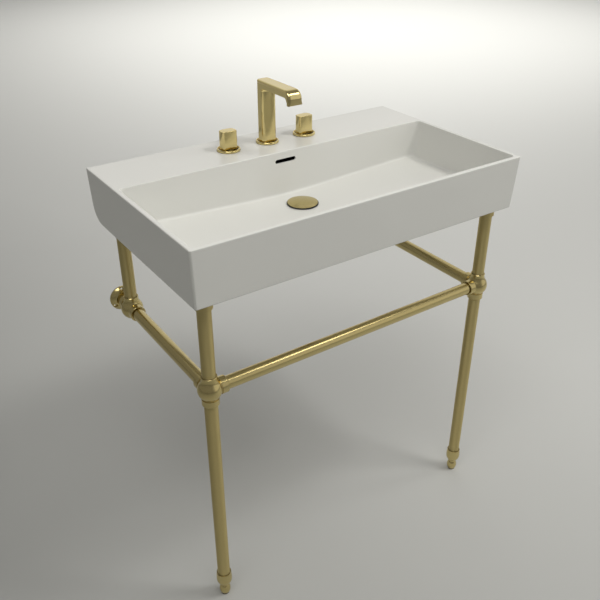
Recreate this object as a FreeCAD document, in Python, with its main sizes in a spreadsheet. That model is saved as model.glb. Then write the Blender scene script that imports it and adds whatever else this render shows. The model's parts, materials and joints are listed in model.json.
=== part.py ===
import FreeCAD, Part
import Sketcher
import math
import os

# Wall-fixed basin on a two-legged tube stand, with a three-hole tap and a push drain.
# +X runs along the wall to the right, the wall is the plane y = 0 and the front faces -Y.
# The origin lies on the wall, midway between the two wall bolts of the basin.

doc = FreeCAD.newDocument("wall_sink")
sheet = doc.addObject("Spreadsheet::Sheet", "Sizes")

# Driving sizes in millimetres, and shares, which have no unit
sizes = {
    # Basin casting
    "basin_width": 806,
    "basin_depth": 469,
    "basin_height": 120,
    "rim_height": 917.5,
    "bolt_drop": 57.5,
    "rim_wall": 10,
    "deck_depth": 148.5,
    "bowl_drop": 102.5,
    "floor_fall_share": 0.048,
    "side_lean": 18,
    "back_lean": 3,
    "front_lean": 16,
    "bowl_corner_top": 9,
    "bowl_corner_low": 24,
    "floor_fillet": 6,
    "outer_corner": 5,
    "rim_round": 2.5,
    "back_round": 38,
    "under_round": 3,
    "deck_thickness": 18,
    "back_wall": 14,
    "bowl_back_wall": 15,
    "block_width": 66,
    "wall_bolt_spread": 280,
    "wall_bolt_radius": 7,
    "overrun": 5,
    # Overflow and drain hole in the basin
    "slot_length": 54,
    "slot_height": 9.5,
    "slot_drop": 21.5,
    "duct_wall": 7,
    "duct_depth": 14,
    "duct_height": 8,
    "duct_floor": 3,
    "drain_row": 216,
    "drain_bore_radius": 22.5,
    "drain_boss_radius": 40,
    "drain_boss_drop": 6,
    "seat_radius": 32,
    "seat_depth": 3.5,
    # Drain fitting
    "drain_flange_radius": 31.5,
    "drain_flange_thickness": 2.5,
    "drain_gasket_thickness": 1.5,
    "drain_tube_radius": 21,
    "drain_tube_wall": 2,
    "drain_tube_length": 82,
    "drain_lip_length": 10,
    "drain_washer_radius": 30,
    "drain_washer_thickness": 5,
    "drain_nut_corner_radius": 32,
    "drain_nut_height": 10,
    "tailpiece_radius": 15.875,
    "tailpiece_thread_radius": 17,
    "tailpiece_wall": 1.2,
    "tailpiece_length": 100,
    "tailpiece_grip": 13,
    "thread_fit": 0.05,
    "guide_thickness": 5,
    "guide_drop": 26,
    "guide_hub_radius": 6,
    "guide_hub_rise": 14,
    "guide_port_radius": 4.5,
    "guide_port_circle_radius": 12,
    "plug_stem_radius": 3,
    "plug_stem_drop": 50,
    "plug_boss_radius": 7,
    "plug_boss_drop": 5,
    "plug_seal_inner": 20,
    "plug_seal_outer": 33.4,
    "plug_seal_thickness": 2.5,
    "plug_seat_gap": 0.3,
    "plug_cap_radius": 34,
    "plug_cap_edge": 1.2,
    "plug_cap_dome": 3.6,
    # Tap holes and what clamps the three tap pieces to the deck
    "tap_spread": 203.2,
    "tap_row": 74,
    "tap_hole_radius": 17.5,
    "gasket_radius": 25,
    "gasket_thickness": 1,
    "flange_radius": 26.5,
    "flange_height": 5.5,
    "flange_edge": 2.6,
    "flange_dish_radius": 22.4,
    "flange_dish_height": 3,
    "shank_radius": 13,
    "shank_drop": 66,
    "shank_floor": 6,
    "inlet_radius": 10.25,
    "inlet_length": 16,
    "waterway_radius": 6,
    "washer_radius": 24,
    "washer_thickness": 3,
    "nut_corner_radius": 25,
    "nut_height": 9,
    # Valves and handles
    "valve_top": 3.5,
    "outlet_root": 9.6,
    "outlet_radius": 8.5,
    "outlet_bore_radius": 4,
    "outlet_length": 14,
    "link_radius": 6,
    "link_wall": 1,
    "link_grip": 10,
    "gallery_radius": 11.2,
    "gallery_height": 6,
    "cartridge_radius": 9.4,
    "cartridge_top": 4,
    "cartridge_drop": 56,
    "cartridge_window_radius": 1.4,
    "cartridge_lip": 2,
    "cartridge_lip_bore": 5.5,
    "disc_chamber": 8,
    "disc_chamber_radius": 7.7,
    "disc_radius": 7.6,
    "disc_thickness": 3,
    "disc_port_radius": 2,
    "disc_port_row": 3.4,
    "disc_notch_radius": 3,
    "disc_notch_row": 6,
    "running_gap": 0.05,
    "stem_foot_radius": 7,
    "stem_foot_height": 1.6,
    "stem_radius": 4,
    "spline_radius": 5.9,
    "spline_low": 10,
    "spline_top": 28,
    "handle_width": 37.5,
    "handle_depth": 24.5,
    "handle_corner": 4.5,
    "handle_low": 4.4,
    "handle_top": 46,
    "handle_dome_radius": 200,
    "handle_edge": 1.2,
    "handle_grub_radius": 2,
    "handle_grub_height": 18,
    "handle_grub_length": 6,
    # Spout
    "spout_width": 37,
    "spout_section": 30,
    "spout_corner": 8,
    "spout_edge": 7,
    "spout_lip_corner": 3,
    "spout_top": 141,
    "spout_arm_under": 126,
    "spout_reach": 116,
    "spout_lip_height": 110.5,
    "spout_lip_wall": 7,
    "spout_hood": 7,
    "spout_hood_curve": 15,
    "spout_nose_round": 20,
    "spout_throat_round": 8,
    "spout_shank_rise": 25,
    "spout_bore_radius": 9,
    "spout_channel_radius": 5,
    "aerator_row": 88,
    "aerator_radius": 11,
    "aerator_height": 6.5,
    "aerator_wall": 2.4,
    "screen_thickness": 2,
    # Stand
    "leg_inset": 39,
    "leg_front_inset": 42,
    "rear_post_row": 58,
    "ball_height": 591,
    "tube_radius": 14,
    "tube_wall": 1.5,
    "ball_radius": 25,
    "ball_neck_radius": 16.4,
    "ball_neck_curve": 20,
    "ball_neck_rise": 32,
    "ball_neck_mouth_gap": 1.2,
    "collar_radius": 18,
    "collar_drop": 35,
    "collar_reach": 35,
    "collar_edge": 1,
    "collar_groove_depth": 1.2,
    "collar_groove_end": 20.5,
    "collar_mouth_gap": 1.8,
    "collar_mouth_depth": 3,
    "socket_floor": 16,
    "grub_radius": 2,
    "grub_inset": 7,
    "post_pad_radius": 14,
    "post_pad_thickness": 2.5,
    "post_cap_radius": 17.5,
    "post_cap_height": 34,
    "post_cap_plate": 3,
    # Wall flanges
    "wall_flange_radius": 30,
    "wall_flange_rim": 4,
    "wall_flange_rise": 13,
    "wall_flange_neck_radius": 18.5,
    "wall_flange_curve": 24,
    "wall_flange_floor": 3,
    "wall_screw_circle_radius": 24,
    "wall_screw_radius": 3.25,
    "wall_screw_seat_radius": 4.8,
    "wall_screw_seat_floor": 5,
    # Levelling feet, heights above the floor
    "foot_pad_radius": 9,
    "foot_pad_thickness": 1.5,
    "bulb_curve": 24,
    "neck_radius": 9,
    "neck_low": 27,
    "neck_top": 31,
    "cup_low_curve": 22,
    "cup_belly_radius": 17.8,
    "cup_belly_height": 50,
    "cup_high_curve": 110,
    "cup_rim_radius": 16.4,
    "cup_rim_height": 69,
    "cup_bore_radius": 15.3,
    "cup_floor": 47,
    "stud_radius": 5,
    "stud_top": 95,
    "leg_end": 54,
    "leg_plug_length": 30,
}
for row, (name, number) in enumerate(sizes.items(), 1):
    sheet.set(f"A{row}", name)
    sheet.set(f"B{row}", str(number))
    sheet.setAlias(f"B{row}", name)
doc.recompute()


def text_of(value):
    return value.text if isinstance(value, Size) else str(float(value))


def number_of(value):
    return value.number if isinstance(value, Size) else float(value)


class Size:
    """A size that keeps its number and the sheet expression that gives it."""

    def __init__(self, text, number):
        self.text = text
        self.number = number

    def __add__(self, other):
        return Size(f"({self.text} + {text_of(other)})", self.number + number_of(other))

    def __sub__(self, other):
        return Size(f"({self.text} - {text_of(other)})", self.number - number_of(other))

    def __rsub__(self, other):
        return Size(f"({text_of(other)} - {self.text})", number_of(other) - self.number)

    def __mul__(self, other):
        return Size(f"({self.text} * {text_of(other)})", self.number * number_of(other))

    def __truediv__(self, other):
        return Size(f"({self.text} / {text_of(other)})", self.number / number_of(other))

    def __neg__(self):
        return Size(f"(0 - {self.text})", -self.number)

    __radd__ = __add__
    __rmul__ = __mul__


class Sheet:
    """The sheet's sizes, each under its own name."""

    def __getattr__(self, name):
        return Size(f"Sizes.{name}", float(sheet.get(name)))


size = Sheet()



def root(value):
    return Size(f"sqrt({value.text})", math.sqrt(value.number))


turns = {
    "up": FreeCAD.Rotation(),
    "up with its seam in front": FreeCAD.Rotation(FreeCAD.Vector(0, 0, 1), -90),
    "down": FreeCAD.Rotation(FreeCAD.Vector(1, 0, 0), 180),
    "right": FreeCAD.Rotation(FreeCAD.Vector(0, 1, 0), 90),
    "left": FreeCAD.Rotation(FreeCAD.Vector(0, 1, 0), -90),
    "back": FreeCAD.Rotation(FreeCAD.Vector(1, 0, 0), -90),
    "front": FreeCAD.Rotation(FreeCAD.Vector(1, 0, 0), 90),
}
pieces = []


# Helpers for binding, placing and shaping
def bind(thing, slot, value):
    if isinstance(value, Size):
        thing.setExpression(slot, value.text)


def place(thing, x=0, y=0, z=0, facing="up"):
    spot = FreeCAD.Vector(number_of(x), number_of(y), number_of(z))
    thing.Placement = FreeCAD.Placement(spot, turns[facing])
    for axis, value in zip("xyz", (x, y, z)):
        bind(thing, f"Placement.Base.{axis}", value)
    return thing


def piece(label, thing):
    thing.Label = label
    pieces.append(thing)
    return thing


def box(name, low, high):
    block = doc.addObject("Part::Box", name)
    for slot, start, end in zip(("Length", "Width", "Height"), low, high):
        bind(block, slot, end - start)
    return place(block, *low)


def cylinder(name, radius, length, x=0, y=0, z=0, facing="up"):
    rod = doc.addObject("Part::Cylinder", name)
    bind(rod, "Radius", radius)
    bind(rod, "Height", length)
    return place(rod, x, y, z, facing)


def sphere(name, radius, x=0, y=0, z=0):
    ball = doc.addObject("Part::Sphere", name)
    bind(ball, "Radius", radius)
    return place(ball, x, y, z)


def fuse(name, shapes):
    union = doc.addObject("Part::MultiFuse", name)
    union.Shapes = shapes
    union.Refine = True
    return union


def cut(name, base, tools):
    rest = doc.addObject("Part::Cut", name)
    rest.Base = base
    rest.Tool = tools[0] if len(tools) == 1 else fuse(name + "_tools", tools)
    return rest


def group(name, members):
    bundle = doc.addObject("Part::Compound", name)
    bundle.Links = members
    return bundle


def blended(name, base, radii):
    """Fillet every edge for which radii gives a radius at its upper end and one at its lower end."""
    doc.recompute()
    fillet = doc.addObject("Part::Fillet", name)
    fillet.Base = base
    edges = []
    for index, edge in enumerate(base.Shape.Edges, 1):
        pair = radii(edge)
        if pair:
            upper, lower = pair
            rising = edge.valueAt(edge.FirstParameter).z < edge.valueAt(edge.LastParameter).z
            first, last = (lower, upper) if rising else (upper, lower)
            edges.append((index, first.number, last.number))
    fillet.Edges = edges
    return fillet


def rounded(name, base, radius, chosen):
    return blended(name, base, lambda edge: (radius, radius) if chosen(edge) else None)


def middle(edge):
    return edge.valueAt((edge.FirstParameter + edge.LastParameter) / 2)


def same(a, b):
    return math.isclose(number_of(a), number_of(b), abs_tol=1e-4)


def arc_between(start, end, radius, side):
    chord = end - start
    across = FreeCAD.Vector(-chord.y, chord.x, 0).normalize()
    rise = math.sqrt(radius ** 2 - (chord.Length / 2) ** 2)
    centre = (start + end) * 0.5 + across * (rise if side == "left" else -rise)
    circle = Part.Circle(centre, FreeCAD.Vector(0, 0, 1), radius)
    first, last = (start, end) if side == "left" else (end, start)
    return Part.ArcOfCircle(circle, circle.parameter(first), circle.parameter(last))


def hold(sketch, kind, geometry, point, value):
    if isinstance(value, Size):
        limits = (kind, -1, 1, geometry, point, value.number)
        index = sketch.addConstraint(Sketcher.Constraint(*limits))
        sketch.setExpression(f"Constraints[{index}]", value.text)
    else:
        axis = -2 if kind == "DistanceX" else -1
        sketch.addConstraint(Sketcher.Constraint("PointOnObject", geometry, point, axis))


def draw(sketch, outline):
    """Closed outline: (u, v) starts a line to the next corner, (u, v, side, radius) starts an arc."""
    corners = [FreeCAD.Vector(number_of(u), number_of(v), 0) for u, v, *bend in outline]
    ends = []
    for index, (u, v, *bend) in enumerate(outline):
        start = corners[index]
        end = corners[(index + 1) % len(outline)]
        if bend:
            side, radius = bend
            sketch.addGeometry(arc_between(start, end, radius.number, side))
            ends.append((1, 2) if side == "left" else (2, 1))
        else:
            sketch.addGeometry(Part.LineSegment(start, end))
            ends.append((1, 2))
    for index, (u, v, *bend) in enumerate(outline):
        following = (index + 1) % len(outline)
        link = ("Coincident", index, ends[index][1], following, ends[following][0])
        sketch.addConstraint(Sketcher.Constraint(*link))
        hold(sketch, "DistanceX", index, ends[index][0], u)
        hold(sketch, "DistanceY", index, ends[index][0], v)
        if bend:
            side, radius = bend
            spot = sketch.addConstraint(Sketcher.Constraint("Radius", index, radius.number))
            sketch.setExpression(f"Constraints[{spot}]", radius.text)


def sketch_in(body, role, name, lift=0):
    sketch = body.newObject("Sketcher::SketchObject", name)
    plane = next(item for item in body.Origin.OriginFeatures if item.Role == role)
    sketch.AttachmentSupport = [(plane, "")]
    sketch.MapMode = "FlatFace"
    bind(sketch, "AttachmentOffset.Base.z", lift)
    return sketch


def turned(name, outline, x=0, y=0, z=0, facing="up"):
    body = doc.addObject("PartDesign::Body", name)
    sketch = sketch_in(body, "XZ_Plane", name + "_profile")
    draw(sketch, outline)
    spin = body.newObject("PartDesign::Revolution", name + "_turn")
    spin.Profile = sketch
    spin.ReferenceAxis = (sketch, ["V_Axis"])
    return place(body, x, y, z, facing)


def padded(name, role, outline, length, x=0, y=0, z=0, centred=False):
    body = doc.addObject("PartDesign::Body", name)
    sketch = sketch_in(body, role, name + "_outline")
    draw(sketch, outline)
    pad = body.newObject("PartDesign::Pad", name + "_pad")
    pad.Profile = sketch
    pad.Midplane = centred
    bind(pad, "Length", length)
    return place(body, x, y, z)


def ring(inner, outer, low, high):
    return [(inner, low), (outer, low), (outer, high), (inner, high)]


def disc(outer, low, high):
    return ring(0, outer, low, high)


def cushion(low_x, low_y, high_x, high_y, corner):
    """Rectangle with round corners, anticlockwise."""
    return [
        (low_x + corner, low_y),
        (high_x - corner, low_y, "left", corner),
        (high_x, low_y + corner),
        (high_x, high_y - corner, "left", corner),
        (high_x - corner, high_y),
        (low_x + corner, high_y, "left", corner),
        (low_x, high_y - corner),
        (low_x, low_y + corner, "left", corner),
    ]


def tube(name, length, x, y, z, facing):
    return turned(name, ring(size.tube_radius - size.tube_wall, size.tube_radius, 0, length), x, y, z, facing)


def hexagon_nut(name, corner_radius, bore_radius, height, x, y, z):
    blank = doc.addObject("Part::Prism", name + "_blank")
    blank.Polygon = 6
    bind(blank, "Circumradius", corner_radius)
    bind(blank, "Height", height)
    place(blank, x, y, z)
    bore = cylinder(name + "_bore", bore_radius, height, x, y, z)
    return cut(name, blank, [bore])


# Heights and places that several pieces share
rim_z = size.bolt_drop
under_z = size.bolt_drop - size.basin_height
floor_z = size.bolt_drop - size.rim_height
half_width = size.basin_width / 2
ball_z = floor_z + size.ball_height
leg_x = half_width - size.leg_inset
front_y = size.leg_front_inset - size.basin_depth
rear_y = -size.rear_post_row
tap_x = size.tap_spread / 2
tap_y = -size.tap_row
drain_y = -size.drain_row
bowl_floor_z = rim_z - size.bowl_drop
seat_z = bowl_floor_z - size.seat_depth
boss_z = under_z - size.drain_boss_drop
duct_low = boss_z + size.duct_floor
drain_flange_top = seat_z + size.drain_gasket_thickness + size.drain_flange_thickness
socket_radius = size.tube_radius + size.thread_fit
chamber_low = size.cartridge_lip - size.cartridge_drop
moving_low = chamber_low + size.disc_thickness + size.running_gap
outlet_level = moving_low + size.disc_thickness / 2
link_z = rim_z + outlet_level
link_start = size.shank_radius + size.outlet_length - size.link_grip


# Basin
def bowl_form():
    """The space inside the bowl: leaning walls above a floor that falls to the drain."""
    side = half_width - size.rim_wall
    front = -size.basin_depth + size.rim_wall
    back = -size.deck_depth
    walls = doc.addObject("Part::Wedge", "bowl_walls")
    limits = {
        "Xmin": -side,
        "Xmax": side,
        "Ymax": size.bowl_drop + size.overrun,
        "Zmin": front,
        "Zmax": back,
        "X2min": size.side_lean - side,
        "X2max": side - size.side_lean,
        "Z2min": front + size.front_lean,
        "Z2max": back - size.back_lean,
    }
    walls.Ymin = 0
    for slot, value in limits.items():
        bind(walls, slot, value)
    place(walls, 0, 0, rim_z, "back")
    radii = (size.bowl_corner_top, size.bowl_corner_low)

    def corner(edge):
        heights = [vertex.Z for vertex in edge.Vertexes]
        return None if same(*heights) else radii

    softened = blended("bowl_walls_rounded", walls, corner)
    reach = size.basin_width
    rise = (reach - size.seat_radius) * size.floor_fall_share
    floor = [(0, -size.bowl_drop), (reach, -size.bowl_drop), (reach, rise), (size.seat_radius, 0), (0, 0)]
    below = turned("bowl_floor", floor, 0, drain_y, bowl_floor_z, "up with its seam in front")
    space = cut("bowl_space", softened, [below])

    def on_floor(edge):
        spot = middle(edge)
        away = math.hypot(spot.x, spot.y - drain_y.number) - size.seat_radius.number
        height = bowl_floor_z.number + away * size.floor_fall_share.number
        straight = isinstance(edge.Curve, Part.Line)
        return away > size.overrun.number and same(spot.z, height) and not straight

    return rounded("bowl_space_round", space, size.floor_fillet, on_floor)


def basin_shell():
    block = box("basin_block", (-half_width, -size.basin_depth, under_z), (half_width, 0 * rim_z, rim_z))

    def lower_back(edge):
        spot = middle(edge)
        return same(spot.y, 0) and same(spot.z, under_z)

    def front_upright(edge):
        spot = middle(edge)
        return same(abs(spot.x), half_width) and same(spot.y, -size.basin_depth) and not same(spot.z, under_z)

    def lower_front(edge):
        spot = middle(edge)
        return same(spot.y, -size.basin_depth) and same(spot.z, under_z)

    def on_rim(edge):
        return all(same(vertex.Z, rim_z) for vertex in edge.Vertexes)

    shell = rounded("basin_back_rounded", block, size.back_round, lower_back)
    shell = rounded("basin_front_rounded", shell, size.outer_corner, front_upright)
    shell = rounded("basin_under_rounded", shell, size.under_round, lower_front)
    shell = cut("basin_with_bowl", shell, [bowl_form()])
    return rounded("basin_rim_rounded", shell, size.rim_round, on_rim)


def basin():
    cavity_x = half_width - size.block_width
    cavity_front = -size.deck_depth + size.bowl_back_wall
    cavity_low = (-cavity_x, cavity_front, under_z - size.overrun)
    cavity_high = (cavity_x, -size.back_wall, rim_z - size.deck_thickness)
    hollow = cut("basin_hollow", basin_shell(), [box("deck_cavity", cavity_low, cavity_high)])
    # Overflow: a boss behind the slot carries a duct down, then forward to the drain hole
    duct_x = size.slot_length / 2
    boss_x = duct_x + size.duct_wall
    slot_z = rim_z - size.slot_drop
    duct_top = slot_z + size.slot_height / 2
    duct_front = cavity_front - size.bowl_back_wall / 2
    duct_back = duct_front + size.duct_depth
    boss_back = duct_back + size.duct_wall
    boss_front = cavity_front - size.bowl_back_wall / 4
    bosses = [
        hollow,
        box("duct_boss", (-boss_x, boss_front, boss_z), (boss_x, boss_back, duct_top + size.duct_wall)),
        box("duct_floor_boss", (-boss_x, drain_y, boss_z), (boss_x, boss_back, under_z + size.overrun)),
        cylinder("drain_boss", size.drain_boss_radius, size.drain_boss_drop + size.overrun, 0, drain_y, boss_z),
    ]
    body = fuse("basin_with_bosses", bosses)
    slot_half = (size.slot_length - size.slot_height) / 2
    slot_run = size.bowl_back_wall + size.overrun
    slot_front = -size.deck_depth - size.overrun
    slot_low = slot_z - size.slot_height / 2
    slot = [
        box("slot_middle", (-slot_half, slot_front, slot_low), (slot_half, slot_front + slot_run, duct_top)),
        cylinder("slot_left", size.slot_height / 2, slot_run, -slot_half, slot_front, slot_z, "back"),
        cylinder("slot_right", size.slot_height / 2, slot_run, slot_half, slot_front, slot_z, "back"),
    ]
    ducts = [
        box("duct_down", (-duct_x, duct_front, duct_low), (duct_x, duct_back, duct_top)),
        box("duct_forward", (-duct_x / 2, drain_y, duct_low), (duct_x / 2, duct_back, duct_low + size.duct_height)),
    ]
    through_deck = size.deck_thickness + size.overrun * 2
    deck_low = rim_z - size.deck_thickness - size.overrun
    holes = [
        cylinder(f"tap_hole_{number}", size.tap_hole_radius, through_deck, side * tap_x, tap_y, deck_low)
        for number, side in enumerate((-1, 0, 1), 1)
    ]
    holes += [
        cylinder(
            f"wall_bolt_hole_{number}", size.wall_bolt_radius, size.back_wall + size.overrun * 2,
            side * size.wall_bolt_spread / 2, size.overrun, 0, "front",
        )
        for number, side in enumerate((-1, 1), 1)
    ]
    drain_run = bowl_floor_z - boss_z + size.overrun * 2
    drain = [
        cylinder("drain_hole", size.drain_bore_radius, drain_run, 0, drain_y, boss_z - size.overrun),
        cylinder("drain_seat", size.seat_radius, size.seat_depth + size.overrun, 0, drain_y, seat_z),
    ]
    piece("basin", cut("basin_finished", body, slot + ducts + holes + drain))


# Drain
def drain():
    outer = size.drain_tube_radius
    inner = outer - size.drain_tube_wall
    lip = size.tailpiece_thread_radius + size.thread_fit
    flange_low = seat_z + size.drain_gasket_thickness - drain_flange_top
    low = -size.drain_tube_length
    profile = [
        (lip, low),
        (outer, low),
        (outer, flange_low),
        (size.drain_flange_radius, flange_low),
        (size.drain_flange_radius, 0),
        (inner, 0),
        (inner, low + size.drain_lip_length),
        (lip, low + size.drain_lip_length),
    ]
    tube_body = turned("drain_tube", profile, 0, drain_y, drain_flange_top)
    port_z = duct_low + size.duct_height / 2
    port = cylinder("drain_ports", size.duct_height / 2, outer * 2 + size.overrun * 2, 0,
                    drain_y - outer - size.overrun, port_z, "back")
    piece("drain_body", cut("drain_body_cut", tube_body, [port]))
    bore = outer + size.thread_fit
    gasket = ring(bore, size.drain_flange_radius, 0, size.drain_gasket_thickness)
    piece("drain_gasket", turned("drain_gasket_ring", gasket, 0, drain_y, seat_z))
    washer = ring(bore, size.drain_washer_radius, 0, size.drain_washer_thickness)
    washer_z = boss_z - size.drain_washer_thickness
    piece("drain_washer", turned("drain_washer_ring", washer, 0, drain_y, washer_z))
    nut_z = washer_z - size.drain_nut_height
    piece("drain_nut", hexagon_nut("drain_nut_cut", size.drain_nut_corner_radius, bore,
                                   size.drain_nut_height, 0, drain_y, nut_z))
    pipe_top = drain_flange_top - size.drain_tube_length + size.tailpiece_grip
    pipe_bore = size.tailpiece_radius - size.tailpiece_wall
    pipe = [
        (pipe_bore, -size.tailpiece_length),
        (size.tailpiece_radius, -size.tailpiece_length),
        (size.tailpiece_radius, -size.tailpiece_grip),
        (size.tailpiece_thread_radius, -size.tailpiece_grip),
        (size.tailpiece_thread_radius, 0),
        (pipe_bore, 0),
    ]
    piece("tailpiece", turned("tailpiece_pipe", pipe, 0, drain_y, pipe_top))
    stem_hole = size.plug_stem_radius + size.running_gap
    web = inner - size.thread_fit
    guide = [
        (stem_hole, 0),
        (web, 0),
        (web, size.guide_thickness),
        (size.guide_hub_radius, size.guide_thickness),
        (size.guide_hub_radius, size.guide_hub_rise),
        (stem_hole, size.guide_hub_rise),
    ]
    guide_z = drain_flange_top - size.guide_drop
    wheel = turned("plug_guide_wheel", guide, 0, drain_y, guide_z)
    ports = [
        cylinder(f"guide_port_{name}", size.guide_port_radius, size.guide_thickness,
                 along * size.guide_port_circle_radius, drain_y + across * size.guide_port_circle_radius, guide_z)
        for name, along, across in (("right", 1, 0), ("left", -1, 0), ("back", 0, 1), ("front", 0, -1))
    ]
    piece("plug_guide", cut("plug_guide_cut", wheel, ports))


def plug():
    seal_low = size.plug_seat_gap
    seal_high = seal_low + size.plug_seal_thickness
    seal = ring(size.plug_seal_inner, size.plug_seal_outer, seal_low, seal_high)
    piece("plug_seal", turned("plug_seal_ring", seal, 0, drain_y, drain_flange_top))
    dome = size.plug_cap_dome
    curve = (size.plug_cap_radius * size.plug_cap_radius + dome * dome) / (dome * 2)
    edge_top = seal_high + size.plug_cap_edge
    boss_low = seal_high - size.plug_boss_drop
    hole = size.plug_stem_radius + size.thread_fit
    cap = [
        (hole, boss_low),
        (size.plug_boss_radius, boss_low),
        (size.plug_boss_radius, seal_high),
        (size.plug_cap_radius, seal_high),
        (size.plug_cap_radius, edge_top, "left", curve),
        (0, edge_top + dome),
        (0, seal_high),
        (hole, seal_high),
    ]
    piece("plug_cap", turned("plug_cap_turned", cap, 0, drain_y, drain_flange_top))
    rod = disc(size.plug_stem_radius, -size.plug_stem_drop, seal_high)
    piece("plug_stem", turned("plug_stem_rod", rod, 0, drain_y, drain_flange_top))


# Tap: what every tap piece has at the deck
def deck_fittings():
    places = (("hot", -tap_x), ("spout", 0), ("cold", tap_x))
    bore = size.shank_radius + size.thread_fit
    under_deck = rim_z - size.deck_thickness
    dish = size.flange_dish_radius
    rim_inner = dish + (size.flange_radius - dish) / 4
    flange = [
        (bore, size.gasket_thickness),
        (size.flange_radius, size.gasket_thickness),
        (size.flange_radius, size.flange_height - size.flange_edge, "left", size.flange_edge),
        (size.flange_radius - size.flange_edge, size.flange_height),
        (rim_inner, size.flange_height),
        (dish, size.flange_dish_height),
        (bore, size.flange_dish_height),
    ]
    gasket = ring(bore, size.gasket_radius, 0, size.gasket_thickness)
    washer = ring(bore, size.washer_radius, -size.washer_thickness, 0)
    nut_z = under_deck - size.washer_thickness - size.nut_height
    gaskets = []
    washers = []
    nuts = []
    for name, x in places:
        piece(f"{name}_flange", turned(f"{name}_flange_ring", flange, x, tap_y, rim_z))
        gaskets.append(turned(f"{name}_gasket", gasket, x, tap_y, rim_z))
        washers.append(turned(f"{name}_washer", washer, x, tap_y, under_deck))
        nuts.append(hexagon_nut(f"{name}_nut", size.nut_corner_radius, bore, size.nut_height, x, tap_y, nut_z))
    piece("deck_gaskets", group("deck_gasket_set", gaskets))
    piece("deck_washers", group("deck_washer_set", washers))
    piece("deck_nuts", group("deck_nut_set", nuts))


def link_outlet(name, x, toward):
    """A boss on the side of a shank, with the bores that take a link pipe and lead to it."""
    way = 1 if toward == "right" else -1
    run = size.shank_radius + size.outlet_length - size.outlet_root
    boss = cylinder(f"{name}_boss", size.outlet_radius, run, x + way * size.outlet_root, tap_y, link_z, toward)
    bores = [
        cylinder(f"{name}_socket", size.link_radius + size.thread_fit, size.link_grip + size.overrun,
                 x + way * link_start, tap_y, link_z, toward),
        cylinder(f"{name}_bore", size.outlet_bore_radius, link_start + size.overrun, x, tap_y, link_z, toward),
    ]
    return boss, bores


def valve(name, x, toward):
    socket = size.cartridge_radius + size.thread_fit
    inlet_low = -size.shank_drop - size.inlet_length
    gallery_low = outlet_level - size.gallery_height / 2
    gallery_high = gallery_low + size.gallery_height
    shank = [
        (size.waterway_radius, inlet_low),
        (size.inlet_radius, inlet_low),
        (size.inlet_radius, -size.shank_drop),
        (size.shank_radius, -size.shank_drop),
        (size.shank_radius, size.valve_top),
        (socket, size.valve_top),
        (socket, gallery_high),
        (size.gallery_radius, gallery_high),
        (size.gallery_radius, gallery_low),
        (socket, gallery_low),
        (socket, -size.cartridge_drop),
        (size.waterway_radius, -size.cartridge_drop),
    ]
    body = turned(f"{name}_valve_shank", shank, x, tap_y, rim_z)
    boss, bores = link_outlet(f"{name}_valve_outlet", x, toward)
    piece(f"{name}_valve_body", cut(f"{name}_valve_cut", fuse(f"{name}_valve_joined", [body, boss]), bores))
    chamber_high = chamber_low + size.disc_chamber
    neck = size.stem_radius + size.running_gap
    housing = [
        (size.cartridge_lip_bore, -size.cartridge_drop),
        (size.cartridge_radius, -size.cartridge_drop),
        (size.cartridge_radius, size.cartridge_top),
        (neck, size.cartridge_top),
        (neck, chamber_high),
        (size.disc_chamber_radius, chamber_high),
        (size.disc_chamber_radius, chamber_low),
        (size.cartridge_lip_bore, chamber_low),
    ]
    shell = turned(f"{name}_cartridge_shell", housing, x, tap_y, rim_z)
    reach = size.cartridge_radius + size.overrun
    window = cylinder(f"{name}_cartridge_windows", size.cartridge_window_radius, reach * 2, x - reach, tap_y,
                      link_z, "right")
    piece(f"{name}_cartridge", cut(f"{name}_cartridge_cut", shell, [window]))
    # Shut, the notches of the moving disc stand a quarter turn away from the ports of the fixed one
    plates = (
        ("fixed", chamber_low, size.disc_port_radius, size.disc_port_row, 0 * size.disc_port_row),
        ("moving", moving_low, size.disc_notch_radius, 0 * size.disc_notch_row, size.disc_notch_row),
    )
    for kind, low, radius, along, across in plates:
        plate = cylinder(f"{name}_{kind}_plate", size.disc_radius, size.disc_thickness, x, tap_y, rim_z + low)
        ports = [
            cylinder(f"{name}_{kind}_port_{number}", radius, size.disc_thickness,
                     x + side * along, tap_y + side * across, rim_z + low)
            for number, side in enumerate((-1, 1), 1)
        ]
        piece(f"{name}_{kind}_disc", cut(f"{name}_{kind}_disc_cut", plate, ports))
    foot_low = moving_low + size.disc_thickness
    foot_high = foot_low + size.stem_foot_height
    spindle = [
        (0, foot_low),
        (size.stem_foot_radius, foot_low),
        (size.stem_foot_radius, foot_high),
        (size.stem_radius, foot_high),
        (size.stem_radius, size.spline_low),
        (size.spline_radius, size.spline_low),
        (size.spline_radius, size.spline_top),
        (0, size.spline_top),
    ]
    piece(f"{name}_stem", turned(f"{name}_spindle", spindle, x, tap_y, rim_z))


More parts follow.
